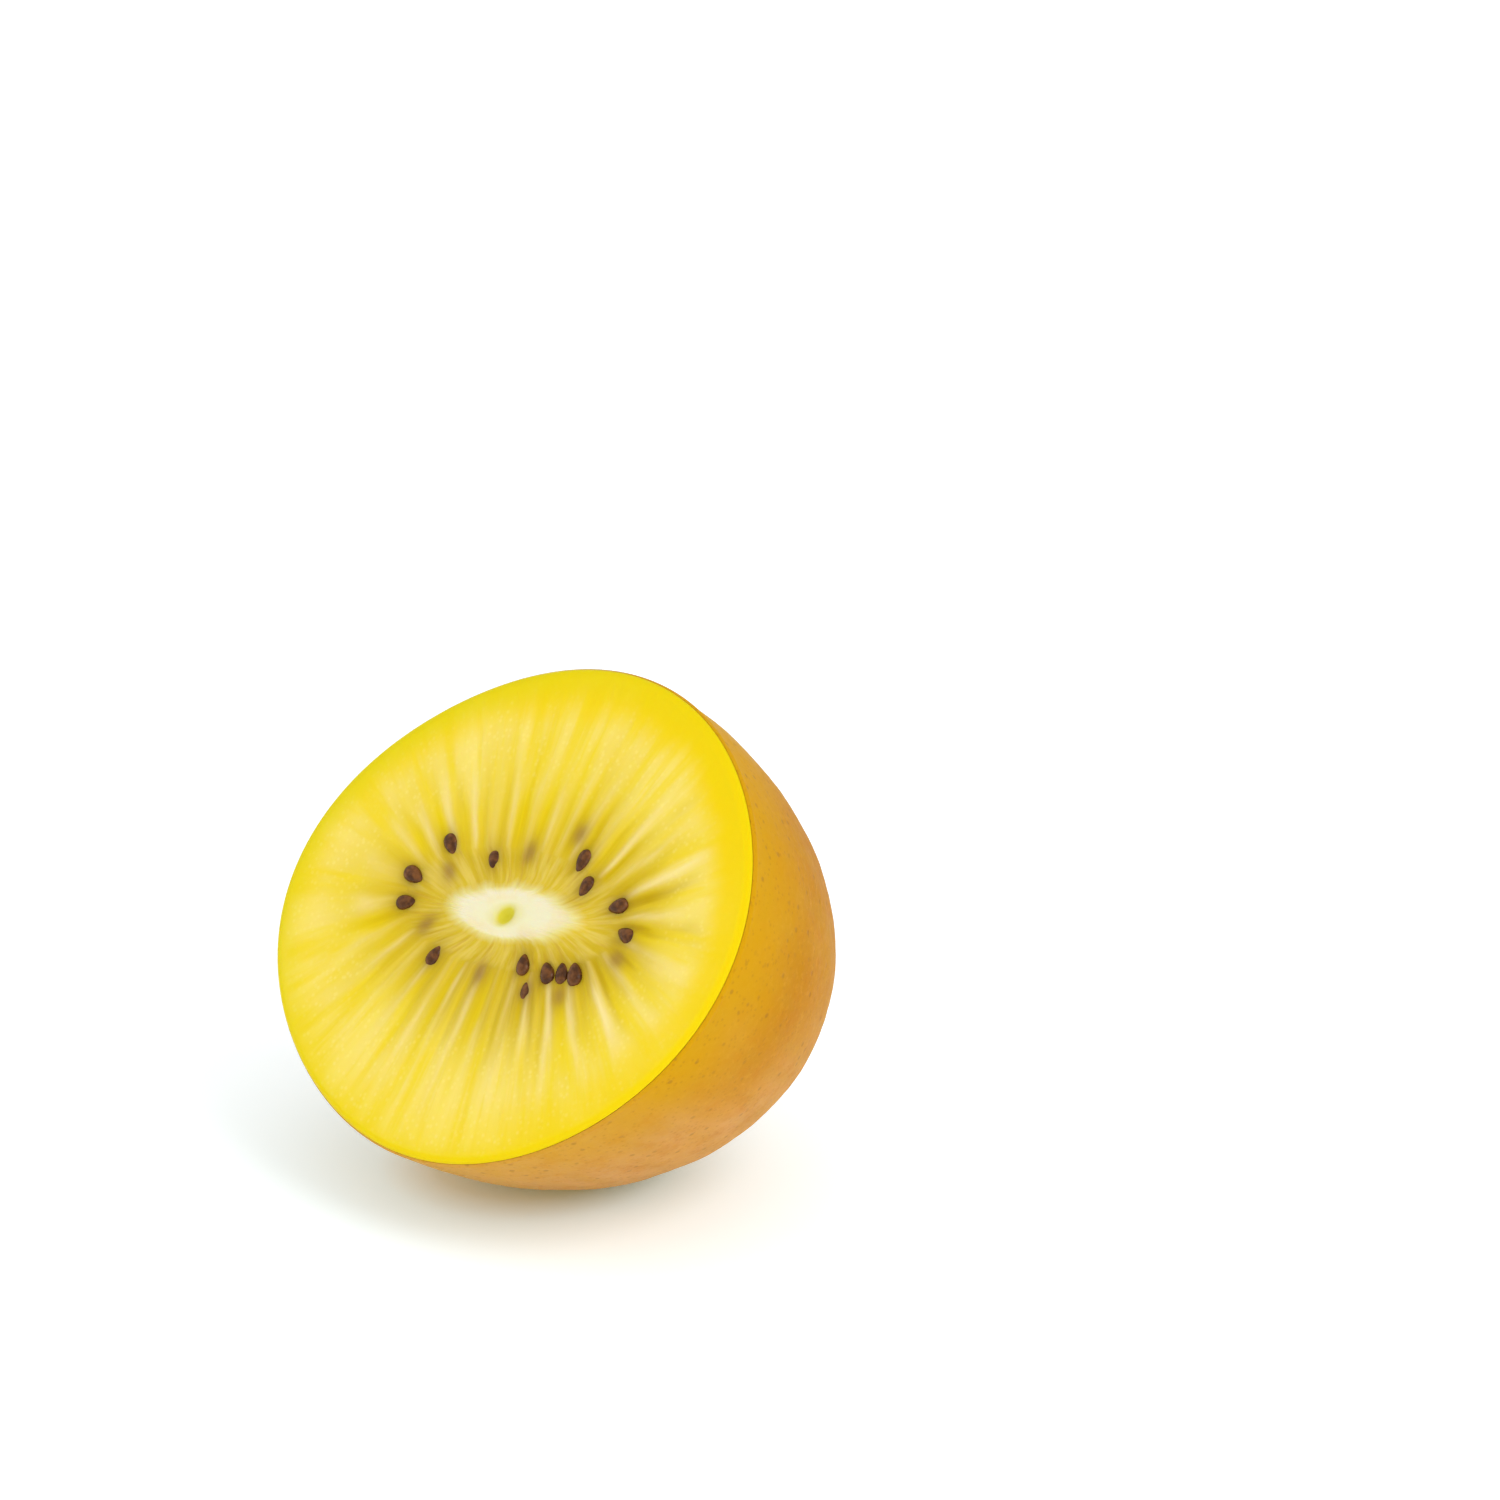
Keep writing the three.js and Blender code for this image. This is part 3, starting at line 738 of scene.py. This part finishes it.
def flesh_material():
    """The flesh's finish. Its tones follow the way out, with a ragged edge to the core. Coats lie over them
    from the core outwards: cream patches, fibres, dusky flesh by the seed ring, the rays and their walls,
    the grainy outer flesh, the saturated rim of the young side and, on one side, a wide glowing rim of
    painted backlight, and the marks of the seeds."""
    material = bpy.data.materials.new("kiwi flesh")
    add = add_nodes(material)
    way = read(add, "way")
    ragged = math_of(add, "ADD", scaled(add, ray_noise(add, 0.55, 0.6), -0.22, 0.22),
                     scaled(add, ray_noise(add, 2.4, 0.5), -0.12, 0.12))
    way = math_of(add, "MULTIPLY_ADD", ragged, zone(add, way, 0.25, 0.7, 1.2, 1.9), way)
    uneven = math_of(add, "ADD", way, scaled(add, ray_noise(add, 0.8, 0.7, 3.0), -0.20, 0.20))
    in_core = zone(add, way, 0.1, 0.4, 0.75, 1.0)
    in_ring = zone(add, way, 0.95, 1.3, 1.8, 2.6)
    by_seeds = times(add, read(add, "dusky"), zone(add, way, 1.7, 2.05, 2.12, 2.68))
    outer_flesh = zone(add, way, 2.2, 2.6, 2.9, 3.05)
    patches = spread(add, noise(add, 420.0, 3.0), 0.45, 0.68)
    cells = add("ShaderNodeTexVoronoi", Vector=own_place(add), Scale=1500.0, Randomness=1.0)
    sacs = spread(add, cells.outputs["Distance"], 0.45, 0.05)
    body = lay_over(
        add, ramp(add, way, FIRST_WAY, LAST_WAY, FACE_TONES),
        (0.55, times(add, in_core, patches), CREAM),
        (0.60, streaky(add, in_ring, 2.6, 0.35, 3.0, 0.35, 0.70), PALE_FIBRE),
        (0.50, streaky(add, in_ring, 3.1, 0.30, 2.0, 0.55, 0.80), DARK_FIBRE),
        (1.00, streaky(add, by_seeds, 2.0, 0.40, 3.0, 0.30, 0.68, 0.25, 0.95), DUSKY_OLIVE),
        (1.00, streaky(add, read(add, "gold"), 1.3, 0.45, 4.0, 0.32, 0.64, 0.10, 1.10), STREAK_GOLD),
        (1.00, streaky(add, read(add, "deep"), 2.6, 0.45, 3.0, 0.32, 0.66, 0.15, 1.35), CHAMBER_GOLD),
        (1.00, streaky(add, read(add, "streaks"), 2.2, 0.40, 3.0, 0.32, 0.66, 0.15, 0.85), STREAK_BROWN),
        (1.00, streaky(add, read(add, "pale"), 1.7, 0.80, 3.0, 0.35, 0.65, 0.15, 0.95), WALL_CREAM),
        (0.30, times(add, outer_flesh, sacs), SAC_YELLOW),
        (0.40, streaky(add, outer_flesh, 0.9, 0.70, 4.0, 0.36, 0.70), CLOUD_YELLOW),
        (0.75, streaky(add, outer_flesh, 2.5, 0.34, 4.0, 0.42, 0.70), STREAK_GOLD),
        # Painted backlight: on one side the rim widens and glows saturated yellow, as if light shone through
        # it.
        (1.00, times(add, read(add, "ripe"), spread(add, uneven, 2.66, 2.90)), BACKLIGHT_YELLOW),
        (0.65, times(add, read(add, "young"), spread(add, way, 2.78, 3.0)), YOUNG_YELLOW),
        (1.00, streaky(add, read(add, "halo"), 2.2, 0.50, 3.0, 0.30, 0.70, 0.50, 1.00), HALO_OLIVE),
        (1.00, read(add, "shade"), SHADE_BROWN))
    rough = scaled(add, noise(add, 700.0), 0.30, 0.50)
    grain = math_of(add, "ADD", noise(add, 2600.0), times(add, ray_noise(add, 3.0, 0.4), 0.8))
    bump = add("ShaderNodeBump", Height=grain, Strength=0.35, Distance=0.0001).outputs["Normal"]
    shader = add("ShaderNodeBsdfPrincipled", Base_Color=body, Roughness=rough, Normal=bump,
                 Specular_IOR_Level=0.06, Subsurface_Weight=0.35,
                 Subsurface_Radius=(1.0, 0.62, 0.10), Subsurface_Scale=0.0016)
    add("ShaderNodeOutputMaterial", Surface=shader.outputs["BSDF"])
    return material


flesh = build_flesh()
flesh.data.materials.append(flesh_material())
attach(flesh, "root")
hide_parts("kiwi_half")


# ---------------------------------------------------------------------------------------------------------
# The seeds: small glossy dark brown grains with a hard coat, held by the flesh in the inner ends of the
# chambers and pointing at the core. Some stand out of the cut, and others show faintly through the flesh.
# ---------------------------------------------------------------------------------------------------------
SEED_LONG, SEED_WIDE, SEED_THICK = 2.35, 1.5, 1.15
SEED_TAPER = 0.3
SEED_SPREAD = 0.25
SEED_SUNK = 0.10
SEED_RINGS, SEED_SIDES = 16, 20
SEED_BLACK = (0.065, 0.022, 0.006)
SEED_BROWN = (0.18, 0.065, 0.016)


def build_seeds():
    """Grains with a round outer end and a pointed inner one: an ellipsoid whose width falls off to the
    point by 1 - SEED_TAPER x, where x runs from -1 at the round end to 1 at the point. A seed's size goes
    as 0.8 + 0.2 bare, and its middle lies SEED_SUNK + 0.6 SEED_THICK (1 - bare) below the face. Sizes and
    turns differ a little by a seeded draw."""
    spots, headings, ways, chambers, bareds = seed_places()
    deeps = ray_pattern(chambers, ways)[0]
    flats = np.concatenate([spots, np.zeros((len(spots), 1))], axis=-1)
    levels = face_height(ways, chambers, deeps, flats)
    draw = np.random.default_rng(301)
    turns, leans = np.meshgrid(np.linspace(0, 2 * np.pi, SEED_SIDES, endpoint=False),
                               np.linspace(0, np.pi, SEED_RINGS + 2))
    x = np.cos(leans)
    plump = np.sin(leans) * (1.0 - SEED_TAPER * x)
    shape = np.stack([-x * SEED_LONG / 2, plump * np.cos(turns) * SEED_WIDE / 2,
                      plump * np.sin(turns) * SEED_THICK / 2], axis=-1)
    pieces = []
    for spot, heading, level, bared in zip(spots, headings, levels, bareds):
        size = (0.8 + 0.2 * bared) * draw.uniform(0.92, 1.06)
        side = math.atan2(heading[1], heading[0]) + SEED_SPREAD * draw.uniform(-1, 1)
        lift = level - SEED_SUNK + 0.6 * SEED_THICK * (bared - 1.0)
        grain = place(shape * size @ turned(side).T + np.array([*spot, lift]))
        pieces.append(closed_mesh("seed", grain[1:-1], grain[0, 0], grain[-1, 0]))
    with bpy.context.temp_override(active_object=pieces[0], selected_editable_objects=pieces):
        bpy.ops.object.join()
    pieces[0].name = "seeds"
    return pieces[0]


def seed_material():
    """The seed coat's finish: dark brown with a wet gloss and a faint net of pits."""
    material = bpy.data.materials.new("kiwi seed")
    add = add_nodes(material)
    body = mixed(add, spread(add, noise(add, 1400.0), 0.35, 0.7), SEED_BLACK, SEED_BROWN)
    pits = add("ShaderNodeTexVoronoi", Vector=own_place(add), Scale=5200.0).outputs["Distance"]
    bump = add("ShaderNodeBump", Height=pits, Strength=0.3, Distance=0.00004).outputs["Normal"]
    shader = add("ShaderNodeBsdfPrincipled", Base_Color=body, Roughness=0.22, Normal=bump,
                 Specular_IOR_Level=0.18)
    add("ShaderNodeOutputMaterial", Surface=shader.outputs["BSDF"])
    return material


seeds = build_seeds()
seeds.data.materials.append(seed_material())
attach(seeds, "root")
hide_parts("kiwi_half")


# ---------------------------------------------------------------------------------------------------------
# The stalk scar: a small disc of dry brown cork that healed over where the fruit was picked. It fills the
# middle of the dish at the tip, with its edge grown into the rind.
# ---------------------------------------------------------------------------------------------------------
SCAR_RADIUS = 1.9
SCAR_STAND, SCAR_DIMPLE, SCAR_CRACKS, SCAR_ROOT = 0.35, 0.10, 0.05, 0.15
SCAR_WOBBLE = 0.07
SCAR_COLUMNS, SCAR_ROWS = 120, 18
DARK_CORK = (0.13, 0.05, 0.02)
LIGHT_CORK = (0.36, 0.19, 0.09)


def build_scar():
    """A low rough button: its height falls off as 1 - r^4, with radial cracks and a dimple in the middle.
    Its flat base lies SCAR_ROOT inside the tip of the rind."""
    turns, shares = np.meshgrid(np.linspace(0, 2 * np.pi, SCAR_COLUMNS, endpoint=False),
                                np.linspace(0.06, 1.0, SCAR_ROWS))
    flat = np.stack([np.cos(turns), np.sin(turns), np.zeros_like(turns)], axis=-1) * shares[..., None]
    out = SCAR_RADIUS * (1.0 + SCAR_WOBBLE * ripples(flat, 0.9, 41))
    crack = ripples(flat / np.maximum(shares, 0.3)[..., None], 0.5, 42)
    dimple = SCAR_DIMPLE * np.exp(-((shares / 0.25) ** 2))
    height = SCAR_STAND * (1.0 - shares ** 4) - dimple + SCAR_CRACKS * crack * shares
    tip = skin_points(np.zeros(1), np.ones(1))[0, 2]
    top = np.stack([flat[..., 0] * out, flat[..., 1] * out, tip - height], axis=-1)
    base = top[::-6].copy()
    base[..., 2] = tip + SCAR_ROOT
    ends = np.array([[0.0, 0.0, tip - SCAR_STAND + SCAR_DIMPLE], [0.0, 0.0, tip + SCAR_ROOT]])
    return closed_mesh("stalk_scar", place(np.concatenate([top, base])), place(ends[0]), place(ends[1]))


def scar_material():
    """The cork's finish: dry, rough and brown, mottled darker and lighter."""
    material = bpy.data.materials.new("kiwi stalk scar")
    add = add_nodes(material)
    body = mixed(add, spread(add, noise(add, 1300.0, 5.0, 0.65), 0.35, 0.68), DARK_CORK, LIGHT_CORK)
    bump = add("ShaderNodeBump", Height=noise(add, 2400.0, 4.0), Strength=0.6, Distance=0.00015)
    shader = add("ShaderNodeBsdfPrincipled", Base_Color=body, Roughness=0.85, Normal=bump.outputs["Normal"],
                 Specular_IOR_Level=0.2)
    add("ShaderNodeOutputMaterial", Surface=shader.outputs["BSDF"])
    return material


scar = build_scar()
scar.data.materials.append(scar_material())
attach(scar, "root")
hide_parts("kiwi_half")


# ---------------------------------------------------------------------------------------------------------
# The stage: a plain matt white table that glows a little away from the fruit, and soft studio light. The
# glow is painted light: weakest where the fruit rests, which paints its contact shadow darker and tighter,
# and tinted blue-green further out, which cools that shadow. None of it is part of the fruit.
# ---------------------------------------------------------------------------------------------------------
FLOOR_RADIUS = 6.0
FLOOR_POINTS = 96
FLOOR_WHITE = (0.96, 0.99, 1.0, 1.0)
# The glow's colour by metres from GLOW_MIDDLE, which is near the spot where the fruit rests.
GLOW_MIDDLE = (-0.003, -0.003, 0.0)
GLOW_REACH = 0.05
GLOW_TONES = (
    (0.0085, (0.07, 0.08, 0.015)), (0.0140, (0.11, 0.215, 0.225)),
    (0.0220, (0.12, 0.205, 0.22)), (0.0360, (0.175, 0.215, 0.225)))
LIGHT_AIM = Vector((0, 0, 0.02))
SURROUND_STRENGTH = 0.82


def add_floor():
    """A flat disc of matt white with a many-sided rim, whose glow follows the distance from GLOW_MIDDLE."""
    turn = np.linspace(0, 2 * np.pi, FLOOR_POINTS, endpoint=False)
    rim = FLOOR_RADIUS * np.column_stack([np.cos(turn), np.sin(turn), np.zeros(FLOOR_POINTS)])
    mesh = bpy.data.meshes.new("floor")
    mesh.from_pydata(rim.tolist(), [], [list(range(FLOOR_POINTS))])
    floor = bpy.data.objects.new("floor", mesh)
    bpy.context.scene.collection.objects.link(floor)
    material = bpy.data.materials.new("matt white")
    add = add_nodes(material)
    away = add("ShaderNodeVectorMath", {"operation": "DISTANCE"}, _0=own_place(add), _1=GLOW_MIDDLE)
    glow = ramp(add, away.outputs["Value"], 0.0, GLOW_REACH, GLOW_TONES)
    shader = add("ShaderNodeBsdfPrincipled", Base_Color=FLOOR_WHITE, Roughness=0.9, Specular_IOR_Level=0.1,
                 Emission_Color=glow, Emission_Strength=1.0)
    add("ShaderNodeOutputMaterial", Surface=shader.outputs["BSDF"])
    mesh.materials.append(material)


def add_light(name, spot, size, power):
    """A square soft box aimed at the fruit."""
    lamp = bpy.data.lights.new(name, "AREA")
    lamp.size = size
    lamp.energy = power
    light = bpy.data.objects.new(name, lamp)
    light.location = spot
    light.rotation_euler = (LIGHT_AIM - Vector(spot)).to_track_quat("-Z", "Y").to_euler()
    bpy.context.scene.collection.objects.link(light)


def add_surround():
    """An even white surround that fills the shadows."""
    world = bpy.data.worlds.new("surround")
    bpy.context.scene.world = world
    world.use_nodes = True
    background = world.node_tree.nodes["Background"]
    background.inputs["Color"].default_value = (1.0, 1.0, 1.0, 1.0)
    background.inputs["Strength"].default_value = SURROUND_STRENGTH


add_floor()
add_surround()
add_light("key", spot=(1.15, 0.15, 1.2), size=0.9, power=8.0)
add_light("fill", spot=(-0.7, -0.9, 0.8), size=1.0, power=1.5)
add_light("low fill", spot=(0.9, -0.8, 0.25), size=0.8, power=2.5)
bpy.context.scene.view_settings.view_transform = "Standard"
